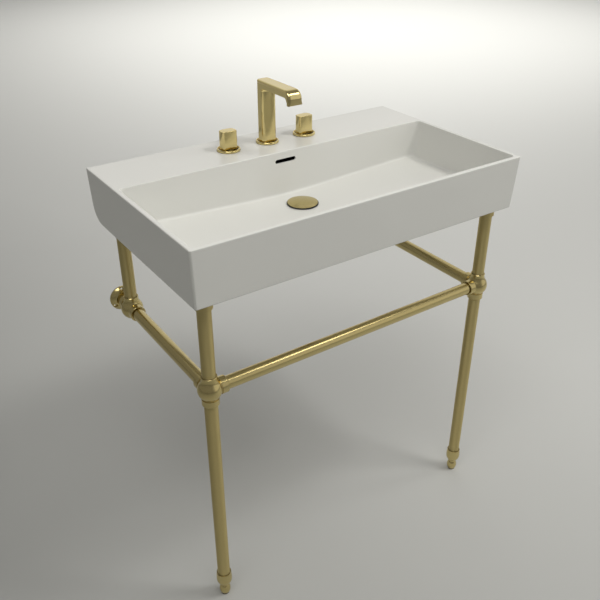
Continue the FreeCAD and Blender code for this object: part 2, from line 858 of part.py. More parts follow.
def handle(name, x):
    side = size.handle_width / 2
    half = size.handle_depth / 2
    outline = cushion(-side, -half, side, half, size.handle_corner)
    low = rim_z + size.handle_low
    block = padded(f"{name}_handle_block", "XY_Plane", outline, size.handle_top - size.handle_low, x, tap_y, low)
    dome = sphere(f"{name}_handle_dome", size.handle_dome_radius, x, tap_y,
                  rim_z + size.handle_top - size.handle_dome_radius)
    crowned = doc.addObject("Part::Common", f"{name}_handle_crowned")
    crowned.Base = block
    crowned.Tool = dome

    def on_crown(edge):
        spot = middle(edge)
        away = math.dist((spot.x, spot.y, spot.z), tuple(dome.Placement.Base))
        return same(away, size.handle_dome_radius)

    soft = rounded(f"{name}_handle_soft", crowned, size.handle_edge, on_crown)
    bore = size.spline_radius + size.running_gap
    grub_z = rim_z + size.handle_grub_height
    cuts = [
        cylinder(f"{name}_handle_bore", bore, size.spline_top - size.handle_low + size.running_gap, x, tap_y, low),
        cylinder(f"{name}_handle_grub_hole", size.handle_grub_radius + size.thread_fit, size.handle_depth,
                 x, tap_y, grub_z, "back"),
    ]
    piece(f"{name}_handle", cut(f"{name}_handle_cut", soft, cuts))
    piece(f"{name}_grub_screw", cylinder(f"{name}_handle_grub", size.handle_grub_radius, size.handle_grub_length,
                                         x, tap_y + bore, grub_z, "back"))


def spout():
    half = size.spout_section / 2
    side = size.spout_width / 2
    front = -size.spout_reach
    lip_inner = front + size.spout_lip_wall
    profile = [
        (front, size.spout_lip_height),
        (lip_inner, size.spout_lip_height, "right", size.spout_hood_curve),
        (lip_inner + size.spout_hood, size.spout_arm_under),
        (half, size.spout_arm_under),
        (half, size.spout_top),
        (front + size.spout_nose_round, size.spout_top, "left", size.spout_nose_round),
        (front, size.spout_top - size.spout_nose_round),
    ]
    arm = padded("spout_arm", "YZ_Plane", profile, size.spout_width, 0, tap_y, rim_z, centred=True)
    under = rim_z + size.spout_arm_under
    top = rim_z + size.spout_top
    crease = top - size.spout_nose_round

    def outer_edge(edge):
        spot = middle(edge)
        if not same(abs(spot.x), side):
            return None
        if same(spot.z, top):
            return (size.spout_edge, size.spout_edge)
        if spot.z > crease.number and spot.y < number_of(tap_y + front + size.spout_nose_round):
            return (size.spout_edge, size.spout_edge)
        if same(spot.y, tap_y + front):
            return (size.spout_edge, size.spout_lip_corner)
        return None

    soft_arm = blended("spout_arm_soft", arm, outer_edge)
    plan = cushion(-side, front - size.spout_corner * 2, side, half, size.spout_corner)
    stencil = padded("spout_plan", "XY_Plane", plan, size.spout_top, 0, tap_y, rim_z)
    trimmed = doc.addObject("Part::Common", "spout_arm_trimmed")
    trimmed.Base = soft_arm
    trimmed.Tool = stencil
    outline = cushion(-side, -half, side, half, size.spout_corner)
    low = rim_z + size.flange_dish_height
    column_height = size.spout_arm_under - size.flange_dish_height
    column = padded("spout_column", "XY_Plane", outline, column_height, 0, tap_y, low)
    solid = fuse("spout_solid", [trimmed, column])

    def throat(edge):
        spot = middle(edge)
        return same(spot.z, under) and same(spot.y, tap_y - half)

    body = rounded("spout_throat", solid, size.spout_throat_round, throat)
    channel_z = rim_z + (size.spout_arm_under + size.spout_top) / 2
    rise = channel_z - rim_z
    cuts = [
        cylinder("spout_socket", size.shank_radius + size.thread_fit, size.spout_shank_rise, 0, tap_y, rim_z),
        cylinder("spout_bore", size.spout_bore_radius, rise, 0, tap_y, rim_z),
        cylinder("spout_channel", size.spout_channel_radius, size.aerator_row, 0, tap_y, channel_z, "front"),
        cylinder("aerator_socket", size.aerator_radius + size.thread_fit, channel_z - under, 0,
                 tap_y - size.aerator_row, under),
    ]
    piece("spout_body", cut("spout_body_cut", body, cuts))
    floor = size.shank_floor - size.shank_drop
    shank = [
        (0, -size.shank_drop),
        (size.shank_radius, -size.shank_drop),
        (size.shank_radius, size.spout_shank_rise),
        (size.waterway_radius, size.spout_shank_rise),
        (size.waterway_radius, floor),
        (0, floor),
    ]
    solids = [turned("spout_shank_tube", shank, 0, tap_y, rim_z)]
    bores = []
    links = []
    run = tap_x - link_start * 2
    wall = ring(size.link_radius - size.link_wall, size.link_radius, 0, run)
    for toward, way in (("left", -1), ("right", 1)):
        boss, openings = link_outlet(f"spout_{toward}_inlet", 0, toward)
        solids.append(boss)
        bores += openings
        links.append(turned(f"{toward}_link", wall, way * link_start, tap_y, link_z, toward))
    piece("spout_shank", cut("spout_shank_cut", fuse("spout_shank_joined", solids), bores))
    piece("link_pipes", group("link_pipe_set", links))
    aerator_bore = size.aerator_radius - size.aerator_wall
    housing = ring(aerator_bore, size.aerator_radius, 0, size.aerator_height)
    aerator_y = tap_y - size.aerator_row
    piece("aerator_housing", turned("aerator_shell", housing, 0, aerator_y, under))
    screen_low = (size.aerator_height - size.screen_thickness) / 2
    screen = disc(aerator_bore, screen_low, screen_low + size.screen_thickness)
    piece("aerator_screen", turned("aerator_disc", screen, 0, aerator_y, under))


# Stand
screws = []


def ball_profile():
    """Half section of a ball that flares up into a slender neck, tangent to both."""
    ball = size.ball_radius
    curve = size.ball_neck_curve
    neck = size.ball_neck_radius
    reach = ball + curve
    neck_low = root(reach * reach - (neck + curve) * (neck + curve))
    share = ball / reach
    return [
        (0, -ball, "left", ball),
        ((neck + curve) * share, neck_low * share, "right", curve),
        (neck, neck_low),
        (neck, size.ball_neck_rise - size.collar_edge),
        (neck - size.collar_edge, size.ball_neck_rise),
        (0, size.ball_neck_rise),
    ]


def collar_profile(reach):
    """Half section of a collar, set off from the ball by a groove."""
    groove = size.collar_radius - size.collar_groove_depth
    return [
        (0, 0),
        (groove, 0),
        (groove, size.collar_groove_end),
        (size.collar_radius, size.collar_groove_end),
        (size.collar_radius, reach - size.collar_edge),
        (size.collar_radius - size.collar_edge, reach),
        (0, reach),
    ]


def ball_joint(label, x, y, arms):
    """A ball with a socketed collar towards each tube, and a hole for each tube's grub screw."""
    solids = [turned(f"{label}_ball", ball_profile(), x, y, ball_z)]
    bores = []
    collar = (size.collar_reach, size.collar_radius, size.collar_mouth_gap, "down")
    shapes = {
        "up": (size.ball_neck_rise, size.ball_neck_radius, size.ball_neck_mouth_gap, "back"),
        "down": (size.collar_drop, size.collar_radius, size.collar_mouth_gap, "back"),
    }
    for facing in arms:
        reach, radius, mouth_gap, screw_way = shapes.get(facing, collar)
        if facing != "up":
            solids.append(turned(f"{label}_{facing}_collar", collar_profile(reach), x, y, ball_z, facing))
        way = turns[facing].multVec(FreeCAD.Vector(0, 0, 1))

        def along(distance):
            return [spot + round(step) * distance for spot, step in zip((x, y, ball_z), way)]

        run = reach - size.socket_floor + size.overrun
        bores.append(cylinder(f"{label}_{facing}_socket", socket_radius, run, *along(size.socket_floor), facing))
        mouth = size.collar_mouth_depth + size.overrun
        bores.append(cylinder(f"{label}_{facing}_mouth", size.tube_radius + mouth_gap, mouth,
                              *along(reach - size.collar_mouth_depth), facing))
        out = turns[screw_way].multVec(FreeCAD.Vector(0, 0, 1))
        hub = along(reach - size.grub_inset)
        bores.append(cylinder(f"{label}_{facing}_grub_hole", size.grub_radius + size.thread_fit,
                              radius + size.overrun, *hub, screw_way))
        seat = [spot + round(step) * size.tube_radius for spot, step in zip(hub, out)]
        length = radius - size.tube_radius
        screws.append(cylinder(f"{label}_{facing}_grub", size.grub_radius, length, *seat, screw_way))
    piece(label, cut(f"{label}_cut", fuse(f"{label}_joined", solids), bores))


def wall_flange(label, x):
    spigot_end = size.rear_post_row - size.socket_floor
    profile = [
        (0, 0),
        (size.wall_flange_radius, 0),
        (size.wall_flange_radius, size.wall_flange_rim, "left", size.wall_flange_curve),
        (size.wall_flange_neck_radius, size.wall_flange_rise),
        (size.tube_radius, size.wall_flange_rise),
        (size.tube_radius, spigot_end),
        (size.tube_radius - size.tube_wall, spigot_end),
        (size.tube_radius - size.tube_wall, size.wall_flange_floor),
        (0, size.wall_flange_floor),
    ]
    dome = turned(f"{label}_dome", profile, x, 0, ball_z, "front")
    holes = []
    for number in range(3):
        turn = math.radians(90 + 120 * number)
        along = size.wall_screw_circle_radius * math.cos(turn)
        rise = size.wall_screw_circle_radius * math.sin(turn)
        run = size.wall_flange_rise + size.overrun
        holes.append(cylinder(f"{label}_hole_{number + 1}", size.wall_screw_radius, run + size.overrun,
                              x + along, size.overrun, ball_z + rise, "front"))
        holes.append(cylinder(f"{label}_seat_{number + 1}", size.wall_screw_seat_radius, run,
                              x + along, -size.wall_screw_seat_floor, ball_z + rise, "front"))
    piece(label, cut(f"{label}_cut", dome, holes))


def foot(side, x):
    pad = disc(size.foot_pad_radius, 0, size.foot_pad_thickness)
    piece(f"{side}_foot_pad", turned(f"{side}_foot_pad_disc", pad, x, front_y, floor_z))
    profile = [
        (0, size.foot_pad_thickness),
        (size.foot_pad_radius, size.foot_pad_thickness, "left", size.bulb_curve),
        (size.neck_radius, size.neck_low),
        (size.neck_radius, size.neck_top, "left", size.cup_low_curve),
        (size.cup_belly_radius, size.cup_belly_height, "left", size.cup_high_curve),
        (size.cup_rim_radius, size.cup_rim_height),
        (size.cup_bore_radius, size.cup_rim_height),
        (size.cup_bore_radius, size.cup_floor),
        (size.stud_radius, size.cup_floor),
        (size.stud_radius, size.stud_top),
        (0, size.stud_top),
    ]
    piece(f"{side}_levelling_foot", turned(f"{side}_foot_cup", profile, x, front_y, floor_z))
    thread = size.stud_radius + size.running_gap
    plug_radius = size.tube_radius - size.tube_wall - size.thread_fit
    insert = ring(thread, plug_radius, 0, size.leg_plug_length)
    piece(f"{side}_leg_plug", turned(f"{side}_leg_insert", insert, x, front_y, floor_z + size.leg_end))


def stand():
    post_top = under_z - size.post_pad_thickness - size.post_cap_plate
    post_low = ball_z + size.socket_floor
    leg_low = floor_z + size.leg_end
    rail_run = leg_x * 2 - size.socket_floor * 2
    side_run = rear_y - front_y - size.socket_floor * 2
    caps = []
    pads = []
    for side, x, inward in (("left", -leg_x, "right"), ("right", leg_x, "left")):
        ball_joint(f"{side}_front_ball", x, front_y, ("up", "down", inward, "back"))
        ball_joint(f"{side}_rear_ball", x, rear_y, ("up", "front", "back"))
        piece(f"{side}_front_post", tube(f"{side}_front_tube", post_top - post_low, x, front_y, post_low, "up"))
        piece(f"{side}_rear_post", tube(f"{side}_rear_tube", post_top - post_low, x, rear_y, post_low, "up"))
        leg_run = ball_z - size.socket_floor - leg_low
        piece(f"{side}_leg", tube(f"{side}_leg_tube", leg_run, x, front_y, leg_low, "up"))
        start_y = front_y + size.socket_floor
        piece(f"{side}_side_rail", tube(f"{side}_side_tube", side_run, x, start_y, ball_z, "back"))
        wall_flange(f"{side}_wall_flange", x)
        foot(side, x)
        for row, y in (("front", front_y), ("rear", rear_y)):
            cap_z = under_z - size.post_pad_thickness - size.post_cap_height
            plate_low = size.post_cap_height - size.post_cap_plate
            cap = [
                (socket_radius, 0),
                (size.post_cap_radius, 0),
                (size.post_cap_radius, size.post_cap_height),
                (0, size.post_cap_height),
                (0, plate_low),
                (socket_radius, plate_low),
            ]
            caps.append(turned(f"{side}_{row}_cap", cap, x, y, cap_z))
            pad = disc(size.post_pad_radius, 0, size.post_pad_thickness)
            pads.append(turned(f"{side}_{row}_pad", pad, x, y, under_z - size.post_pad_thickness))
    piece("front_rail", tube("front_tube", rail_run, -leg_x + size.socket_floor, front_y, ball_z, "right"))
    piece("post_caps", group("post_cap_set", caps))
    piece("post_pads", group("post_pad_set", pads))
    piece("joint_grub_screws", group("joint_grub_set", screws))


basin()
drain()
plug()
deck_fittings()
valve("hot", -tap_x, "right")
valve("cold", tap_x, "left")
handle("hot", -tap_x)
handle("cold", tap_x)
spout()
stand()
doc.recompute()

# Nothing is written unless every object is sound
failed = [item.Name for item in doc.Objects if "Invalid" in item.State or "Error" in item.State]
failed += [item.Label for item in pieces if item.Shape.isNull() or not item.Shape.isValid()]
if failed:
    raise RuntimeError("these objects failed: " + ", ".join(failed))
os.makedirs("parts", exist_ok=True)
for item in pieces:
    item.Shape.exportStep(f"parts/{item.Label}.step")
    print(f"{item.Label}: {len(item.Shape.Solids)} solids, {item.Shape.Volume / 1000:.2f} cm3")
print(len(pieces), "pieces")
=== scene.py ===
import json
import math

import bpy
from mathutils import Matrix, Vector


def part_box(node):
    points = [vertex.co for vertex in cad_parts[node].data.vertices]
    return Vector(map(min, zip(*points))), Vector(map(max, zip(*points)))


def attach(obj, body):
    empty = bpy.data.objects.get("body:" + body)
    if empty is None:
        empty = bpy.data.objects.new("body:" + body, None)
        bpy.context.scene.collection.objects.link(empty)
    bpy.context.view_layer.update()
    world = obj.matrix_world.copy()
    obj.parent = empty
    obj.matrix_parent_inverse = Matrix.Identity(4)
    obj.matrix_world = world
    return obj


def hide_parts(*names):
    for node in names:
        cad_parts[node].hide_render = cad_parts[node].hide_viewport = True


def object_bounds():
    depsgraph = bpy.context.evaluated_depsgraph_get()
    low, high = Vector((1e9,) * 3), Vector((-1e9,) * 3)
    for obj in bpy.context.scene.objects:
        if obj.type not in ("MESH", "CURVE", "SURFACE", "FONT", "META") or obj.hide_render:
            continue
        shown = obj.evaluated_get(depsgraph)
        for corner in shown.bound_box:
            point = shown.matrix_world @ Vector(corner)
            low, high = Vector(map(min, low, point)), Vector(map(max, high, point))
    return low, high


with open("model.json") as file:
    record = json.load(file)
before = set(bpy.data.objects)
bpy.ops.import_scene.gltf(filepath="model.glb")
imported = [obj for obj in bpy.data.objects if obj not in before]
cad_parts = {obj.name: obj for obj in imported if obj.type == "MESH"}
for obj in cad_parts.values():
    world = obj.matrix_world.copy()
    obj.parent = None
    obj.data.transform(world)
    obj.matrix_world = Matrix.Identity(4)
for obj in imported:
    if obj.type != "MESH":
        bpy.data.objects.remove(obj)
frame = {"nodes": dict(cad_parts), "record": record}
cadBox = [list(corner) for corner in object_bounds()]
cadNodes = frame["nodes"]
print("frame loaded with", len(cadNodes), "nodes")


def middleOf(node):
    low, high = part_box(node)
    return (low + high) / 2


# Shader values: sums and products of these add Math nodes
class Value:
    def __init__(self, tree, socket):
        self.tree = tree
        self.socket = socket

    def maths(self, operation, first, second):
        made = self.tree.nodes.new("ShaderNodeMath")
        made.operation = operation
        feed(first, made.inputs[0])
        feed(second, made.inputs[1])
        return Value(self.tree, made.outputs[0])

    def __add__(self, other):
        return self.maths("ADD", self, other)

    def __mul__(self, other):
        return self.maths("MULTIPLY", self, other)

    def __rsub__(self, other):
        return self.maths("SUBTRACT", other, self)

    __radd__ = __add__
    __rmul__ = __mul__


# a value is linked to the socket, and a number or colour is set on it
def feed(item, slot):
    if isinstance(item, Value):
        item.tree.links.new(item.socket, slot)
    else:
        slot.default_value = item


class Finish:
    def __init__(self, block, shader="Principled BSDF"):
        self.block = block
        self.block.use_nodes = True
        self.tree = self.block.node_tree
        self.shader = self.tree.nodes[shader]

    # any node: its type, its settings, then the values or links of its sockets
    def node(self, kind, settings, sockets, output=0):
        made = self.tree.nodes.new("ShaderNode" + kind)
        for key, setting in settings.items():
            setattr(made, key, setting)
        for key, item in sockets.items():
            feed(item, made.inputs[key])
        return Value(self.tree, made.outputs[output])

    def place(self, scale=(1, 1, 1)):
        spot = self.node("TexCoord", {}, {}, "Object")
        return self.node("Mapping", {}, {"Vector": spot, "Scale": scale})

    def axes(self, vector):
        apart = self.node("SeparateXYZ", {}, {"Vector": vector}).socket.node
        return [Value(self.tree, socket) for socket in apart.outputs]

    def noise(self, vector, scale, detail=3.0):
        return self.node("TexNoise", {}, {"Vector": vector, "Scale": scale, "Detail": detail})

    # how far the vector goes one way
    def reach(self, vector, way):
        return self.node("VectorMath", {"operation": "DOT_PRODUCT"}, {0: vector, 1: way}, "Value")

    # 0 below the first number, 1 above the second, smooth between
    def step(self, value, start, end):
        limits = {"Value": value, "From Min": start, "From Max": end}
        return self.node("MapRange", {"interpolation_type": "SMOOTHSTEP"}, limits)

    def blend(self, share, first, second):
        return self.node("Mix", {"data_type": "RGBA"}, {0: share, 6: first, 7: second}, 2)

    def bump(self, height, strength, distance):
        return self.node("Bump", {}, {"Height": height, "Strength": strength, "Distance": distance})

    def surface(self, sockets):
        for key, item in sockets.items():
            feed(item, self.shader.inputs[key])
        return self.block


def newFinish(name):
    return Finish(bpy.data.materials.new(name))


# Camera
view = {
    "place": (-0.87141, -1.47327, 0.61326),
    "tilt": 59.3299,
    "yaw": -34.5055,
    "lens": 44.607,
    "sensor": 36,
}


def makeCamera():
    camera = bpy.data.objects.new("camera", bpy.data.cameras.new("camera"))
    bpy.context.scene.collection.objects.link(camera)
    camera.data.sensor_width = view["sensor"]
    camera.data.lens = view["lens"]
    camera.location = view["place"]
    camera.rotation_euler = (math.radians(view["tilt"]), 0, math.radians(view["yaw"]))
    bpy.context.scene.camera = camera
    bpy.context.scene.view_settings.view_transform = "Standard"


# Floor: mottled, with painted light that makes it paler towards the right
ground = {
    "reach": 60.0,
    "dark": (0.40, 0.405, 0.39, 1),
    "light": (0.67, 0.675, 0.655, 1),
    "paintedLightSide": (0.9, 0.45, 0),
    "fade": (-1.4, 1.4),
    "mottleScale": 1.4,
    "mottleShare": 0.15,
    "roughness": 0.55,
    "mottleRoughness": 0.1,
}


def makeFloor():
    bpy.ops.object.select_all(action="DESELECT")
    bpy.ops.mesh.primitive_plane_add(size=ground["reach"], location=(0, 0, cadBox[0][2]))
    floor = bpy.context.object
    floor.name = "studioFloor"
    coat = newFinish("floorCoat")
    spot = coat.place()
    mottle = coat.noise(spot, ground["mottleScale"])
    # painted light: the colour turns paler towards the right, as if lit more there
    paintedLight = coat.step(coat.reach(spot, ground["paintedLightSide"]), *ground["fade"])
    share = paintedLight + ground["mottleShare"] * mottle
    floor.data.materials.append(coat.surface({
        "Base Color": coat.blend(share, ground["dark"], ground["light"]),
        "Roughness": ground["roughness"] + ground["mottleRoughness"] * mottle,
    }))


# Air: pale on the object's right, dim elsewhere and overhead
air = {
    "dim": (0.215, 0.211, 0.201, 1),
    "bright": (0.66, 0.65, 0.628, 1),
    "brightSide": (1.0, 0.15, 0.0),
    "sideFade": (-0.1, 0.45),
    "up": (0, 0, 1),
    "upFade": (0.55, 0.8),
}


def makeAir():
    sky = Finish(bpy.data.worlds.new("studioAir"), "Background")
    way = sky.node("TexCoord", {}, {}, "Generated")
    beside = sky.step(sky.reach(way, air["brightSide"]), *air["sideFade"])
    overhead = sky.step(sky.reach(way, air["up"]), *air["upFade"])
    bpy.context.scene.world = sky.surface({
        "Color": sky.blend(beside * (1 - overhead), air["dim"], air["bright"]),
    })


# Lamps: soft boxes, of which the tap card only mirrors in the brass and the glaze
lampTone = (1, 0.987, 0.957)
basinAim = (0.1, -0.3, -0.25)
lamps = {
    "keyLight": {
        "place": (1.2, -1.35, 2.1), "aim": basinAim, "size": (0.6, 0.5), "power": 19, "reflected": False},
    "keySheen": {
        "place": (1.17, -1.32, 2.03), "aim": basinAim, "size": (0.9, 0.5), "power": 5.5},
    "fillLight": {
        "place": (-0.75, -1.2, 2.2), "aim": basinAim, "size": (1.8, 1.2), "power": 24.5},
    "rightStrip": {
        "place": (3.2, -1.2, 0.9), "aim": basinAim, "size": (0.6, 1.4), "power": 13, "reflected": False},
    "rearLight": {
        "place": (4.2, 4.6, 4.0), "aim": (4.2, 4.7, -0.86), "size": (6.0, 6.0), "power": 160, "spread": 80},
    "tapCard": {
        "place": (0, 0.02, 0.36), "aim": (0, -1, 0.36), "size": (1.2, 0.6), "power": 0.3,
        "mirrorOnly": True},
}


def softBox(name, place, aim, size, power, spread=180, reflected=True, mirrorOnly=False):
    lamp = bpy.data.lights.new(name, "AREA")
    lamp.shape = "RECTANGLE"
    lamp.size, lamp.size_y = size
    lamp.energy = power
    lamp.spread = math.radians(spread)
    lamp.color = lampTone
    holder = bpy.data.objects.new(name, lamp)
    bpy.context.scene.collection.objects.link(holder)
    holder.location = place
    holder.rotation_euler = (Vector(aim) - Vector(place)).to_track_quat("-Z", "Y").to_euler()
    holder.visible_glossy = reflected
    holder.visible_diffuse = not mirrorOnly


makeCamera()
makeFloor()
makeAir()
for lampName, lampSettings in lamps.items():
    softBox(lampName, **lampSettings)
print("camera, floor and", len(lamps), "lamps made")


# Glazed fireclay of the basin, with painted shade inside its overflow duct, and its bare underside
glaze = {
    "light": (0.75, 0.75, 0.715, 1),
    "dark": (0.71, 0.71, 0.675, 1),
    "bare": (0.66, 0.63, 0.57, 1),
    "duct": (0.004, 0.004, 0.004, 1),
    "cloudScale": 4.0,
    "peelScale": 160.0,
    "peelDetail": 2.0,
    "cloudHeight": 3,
    "bump": (0.06, 0.0006),
    "roughness": 0.2,
    "peelRoughness": 0.08,
    "bareRoughness": 0.4,
    "slotHalf": 0.03,
    "ductFront": -0.148,
    "ductBack": -0.127,
    "ductTop": 0.0415,
    "ductFade": 0.004,
    "ductEdge": 0.001,
    "underside": -0.0625,
    "bareFade": (0.0002, 0.0012),
}


def fireclay():
    coat = newFinish("satinGlaze")
    spot = coat.place()
    cloud = coat.noise(spot, glaze["cloudScale"])
    peel = coat.noise(spot, glaze["peelScale"], glaze["peelDetail"])
    sideways, along, height = coat.axes(spot)
    across = coat.node("Math", {"operation": "ABSOLUTE"}, {0: sideways})
    # painted shade: the glaze inside the overflow duct is coloured near black
    ductShadeMask = coat.step(along, glaze["ductFront"], glaze["ductFront"] + glaze["ductFade"])
    ductLimits = ((across, glaze["slotHalf"]), (along, glaze["ductBack"]), (height, glaze["ductTop"]))
    for distance, limit in ductLimits:
        ductShadeMask = ductShadeMask * (1 - coat.step(distance, limit, limit + glaze["ductEdge"]))
    bareStart, bareEnd = glaze["bareFade"]
    bare = 1 - coat.step(height, glaze["underside"] + bareStart, glaze["underside"] + bareEnd)
    tone = coat.blend(cloud, glaze["dark"], glaze["light"])
    tone = coat.blend(bare, tone, glaze["bare"])
    return coat.surface({
        "Base Color": coat.blend(ductShadeMask, tone, glaze["duct"]),
        "Roughness": glaze["roughness"] + glaze["peelRoughness"] * peel + glaze["bareRoughness"] * bare,
        "Normal": coat.bump(peel + glaze["cloudHeight"] * cloud, *glaze["bump"]),
    })


# Brass of the stand and the tap: its brush marks lie across the axis that is stretched most
brass = {
    "tubeTones": ((0.56, 0.456, 0.193, 1), (0.68, 0.568, 0.276, 1)),
    # painted light: the tap's tones are a lighter copy of the tubes' brass, standing in for a pale wall it
    # would mirror
    "tapPaintedLightTones": ((0.70, 0.574, 0.25, 1), (0.84, 0.705, 0.35, 1)),
    "streakDetail": 4.0,
    "hazeScale": 9.0,
    "streakShare": 0.6,
    "hazeShare": 0.4,
    "streakRoughness": 0.08,
    "hazeRoughness": 0.06,
    "brushedTurn": 0.25,
    "bump": (0.04, 0.00008),
}
brassLooks = {
    "upright": {
        "name": "brassBrushedRound", "tones": brass["tubeTones"], "stretch": (30, 30, 1400),
        "roughness": 0.36, "brushed": 0.9},
    "frontRail": {
        "name": "brassBrushedRail", "tones": brass["tubeTones"], "stretch": (1400, 30, 30),
        "roughness": 0.16, "brushed": 0},
    "sideRail": {
        "name": "brassBrushedSide", "tones": brass["tubeTones"], "stretch": (30, 1400, 30),
        "roughness": 0.16, "brushed": 0},
    "cast": {
        "name": "brassSatinCast", "tones": brass["tubeTones"], "stretch": (260, 260, 260),
        "roughness": 0.16, "brushed": 0},
    "tap": {
        "name": "brassBrushedTap", "tones": brass["tapPaintedLightTones"], "stretch": (30, 30, 1400),
        "roughness": 0.05, "brushed": 0.5},
}


def brushedBrass(name, tones, stretch, roughness, brushed):
    coat = newFinish(name)
    streak = coat.noise(coat.place(stretch), 1.0, brass["streakDetail"])
    haze = coat.noise(coat.place(), brass["hazeScale"])
    return coat.surface({
        "Base Color": coat.blend(brass["streakShare"] * streak + brass["hazeShare"] * haze, *tones),
        "Metallic": 1.0,
        "Roughness": roughness + brass["streakRoughness"] * streak + brass["hazeRoughness"] * haze,
        "Anisotropic": brushed,
        "Anisotropic Rotation": brass["brushedTurn"],
        "Normal": coat.bump(streak, *brass["bump"]),
    })


# Tap flanges: polished rims round a dull dish, painted dark as shade under the handles
flange = {
    "nodes": ("hot_flange", "spout_flange", "cold_flange"),
    "turnedStretch": (60, 60, 900),
    "dish": 0.0222,
    "dishFade": (-0.0006, 0.0002),
    "paintedDishShade": (0.09, 0.066, 0.024, 1),
    "roughness": 0.16,
    "turnedRoughness": 0.08,
    "dishRoughness": 0.3,
}


def flangeBrass(node):
    coat = newFinish(node.replace("_flange", "FlangeBrass"))
    turned = coat.noise(coat.place(flange["turnedStretch"]), 1.0)
    middle = middleOf(node)
    axis = (middle.x, middle.y, 0)
    flatSpot = coat.place((1, 1, 0))
    fromAxis = coat.node("VectorMath", {"operation": "DISTANCE"}, {0: flatSpot, 1: axis}, "Value")
    fadeStart, fadeEnd = flange["dishFade"]
    # painted shade: inside the rim the dish is coloured dark, as shade under the handle
    inShadedDish = 1 - coat.step(fromAxis, flange["dish"] + fadeStart, flange["dish"] + fadeEnd)
    # the rims take the tap's lighter tones, painted light too
    rimTone = coat.blend(turned, *brass["tapPaintedLightTones"])
    rimRoughness = flange["roughness"] + flange["turnedRoughness"] * turned
    return coat.surface({
        "Base Color": coat.blend(inShadedDish, rimTone, flange["paintedDishShade"]),
        "Metallic": 1.0,
        "Roughness": rimRoughness + flange["dishRoughness"] * inShadedDish,
    })


# Plain finishes of the hidden and small pieces, by material slot: one grain over two tones
plainLooks = {
    "plain_brass": {
        "name": "machinedBrass", "stretch": (40, 40, 2600), "scale": 1.0, "detail": 2.0,
        "tones": ((0.42, 0.29, 0.10, 1), (0.62, 0.46, 0.19, 1)), "metallic": 1.0,
        "roughness": 0.3, "grainRoughness": 0.15, "bump": (0.2, 0.0002)},
    "rubber": {
        "name": "blackRubber", "stretch": (1, 1, 1), "scale": 900.0, "detail": 2.0,
        "tones": ((0.012, 0.012, 0.012, 1), (0.03, 0.03, 0.029, 1)), "metallic": 0.0,
        "roughness": 0.6, "grainRoughness": 0.2, "bump": (0.15, 0.0003)},
    "valve_ceramic": {
        "name": "lappedCeramic", "stretch": (1, 1, 1), "scale": 600.0, "detail": 2.0,
        "tones": ((0.78, 0.76, 0.71, 1), (0.88, 0.86, 0.82, 1)), "metallic": 0.0,
        "roughness": 0.12, "grainRoughness": 0.12, "bump": None},
    "moulded_plastic": {
        "name": "mouldedPlastic", "stretch": (1, 1, 1), "scale": 500.0, "detail": 3.0,
        "tones": ((0.55, 0.545, 0.51, 1), (0.66, 0.65, 0.62, 1)), "metallic": 0.0,
        "roughness": 0.42, "grainRoughness": 0.15, "bump": (0.08, 0.0003)},
    "screw_steel": {
        "name": "screwSteel", "stretch": (900, 900, 900), "scale": 1.0, "detail": 3.0,
        "tones": ((0.36, 0.36, 0.355, 1), (0.55, 0.55, 0.54, 1)), "metallic": 1.0,
        "roughness": 0.28, "grainRoughness": 0.2, "bump": None},
}


def plainFinish(look):
    coat = newFinish(look["name"])
    grain = coat.noise(coat.place(look["stretch"]), look["scale"], look["detail"])
    sockets = {
        "Base Color": coat.blend(grain, *look["tones"]),
        "Metallic": look["metallic"],
        "Roughness": look["roughness"] + look["grainRoughness"] * grain,
    }
    if look["bump"]:
        sockets["Normal"] = coat.bump(grain, *look["bump"])
    return coat.surface(sockets)


finishes = {slot: plainFinish(look) for slot, look in plainLooks.items()}
finishes["fireclay"] = fireclay()
brassFinishes = {kind: brushedBrass(**look) for kind, look in brassLooks.items()}


def brassFor(node):
    if node in flange["nodes"]:
        return flangeBrass(node)
    if node == "front_rail":
        return brassFinishes["frontRail"]
    if node.endswith(("_side_rail", "_wall_flange")):
        return brassFinishes["sideRail"]
    if node.endswith(("_ball", "_levelling_foot")) or node == "plug_cap":
        return brassFinishes["cast"]
    return brassFinishes["upright"]


def dressNodes():
    for row in frame["record"]["subparts"]:
        piece = cadNodes[row["node"]]
        finish = finishes.get(row["material_slot"]) or brassFor(row["node"])
        piece.data.materials.clear()
        piece.data.materials.append(finish)


dressNodes()
print("finishes given to the nodes")


# Modelling steps that the new pieces share
modelling = {
    "smoothAngle": math.radians(35),
    "rimAngle": math.radians(60),
    "mergeDistance": 0.000001,
}


def hold(piece):
    bpy.ops.object.select_all(action="DESELECT")
    piece.select_set(True)
    bpy.context.view_layer.objects.active = piece


def settle(piece, place=(0, 0, 0), turn=(0, 0, 0)):
    hold(piece)
    piece.location = place
    piece.rotation_euler = turn
    bpy.ops.object.transform_apply(location=True, rotation=True, scale=True)
    return piece


def copyTo(piece, place, turn=(0, 0, 0)):
    copied = piece.copy()
    copied.data = piece.data.copy()
    bpy.context.scene.collection.objects.link(copied)
    return settle(copied, place, turn)


def applyModifier(piece, kind, settings):
    hold(piece)
    bpy.ops.object.modifier_add(type=kind)
    added = piece.modifiers[-1]
    for key, setting in settings.items():
        setattr(added, key, setting)
    bpy.ops.object.modifier_apply(modifier=added.name)


def joinAll(pieces):
    hold(pieces[0])
    for piece in pieces[1:]:
        piece.select_set(True)
    bpy.ops.object.join()
    return pieces[0]


def fit(piece, name, body, finish):
    piece.name = name
    hold(piece)
    bpy.ops.object.shade_smooth_by_angle(angle=modelling["smoothAngle"])
    piece.data.materials.clear()
    piece.data.materials.append(finish)
    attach(piece, body)


